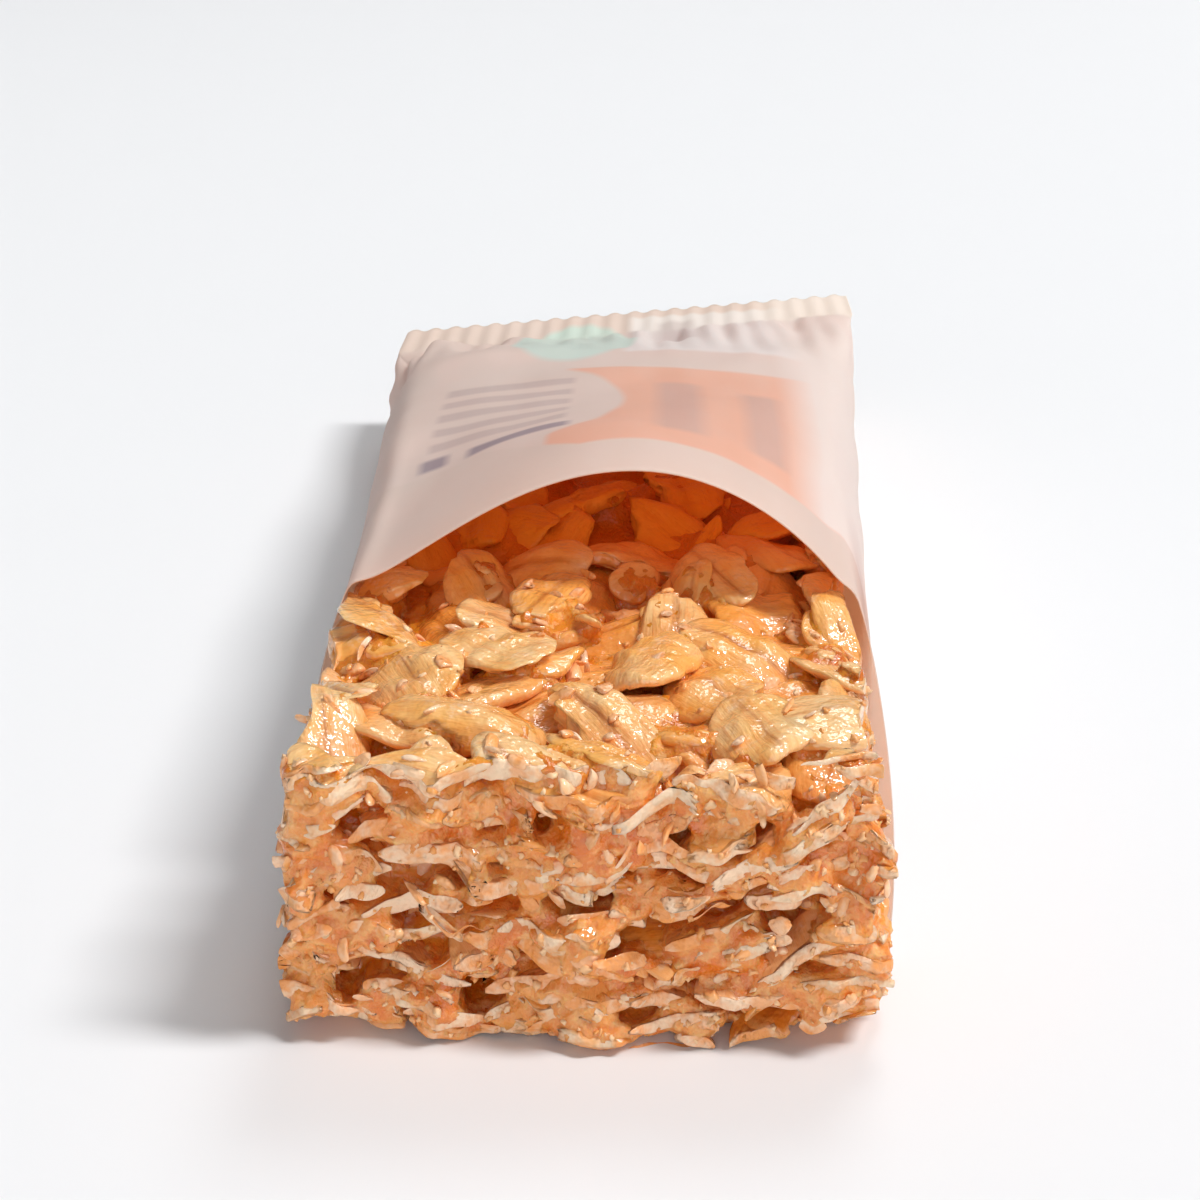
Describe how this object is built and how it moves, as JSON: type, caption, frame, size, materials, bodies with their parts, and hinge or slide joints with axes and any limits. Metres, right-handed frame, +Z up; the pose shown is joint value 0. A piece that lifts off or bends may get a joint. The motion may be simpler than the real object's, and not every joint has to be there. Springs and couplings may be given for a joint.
{
  "type": "granola bar",
  "caption": "Rectangular bar of pressed, syrup-bound oats with a broken front end, part pushed out of an opened paper flow wrapper whose far end is crimped flat.",
  "frame": {"origin": "centre of the footprint's bounding box, on the table plane", "axes": "+Z up; -Y towards the bar's exposed, broken end; +Y towards the wrapper's crimped end; +X to the right, seen from the exposed end"},
  "size_m": [0.055, 0.1301, 0.0293],
  "materials": {
    "toasted_oats": "toasted oats in glossy syrup",
    "wrapper_paper": "thin matt printed paper film"
  },
  "bodies": {
    "root": {"bar": "toasted_oats", "wrapper": "wrapper_paper"}
  },
  "joints": []
}
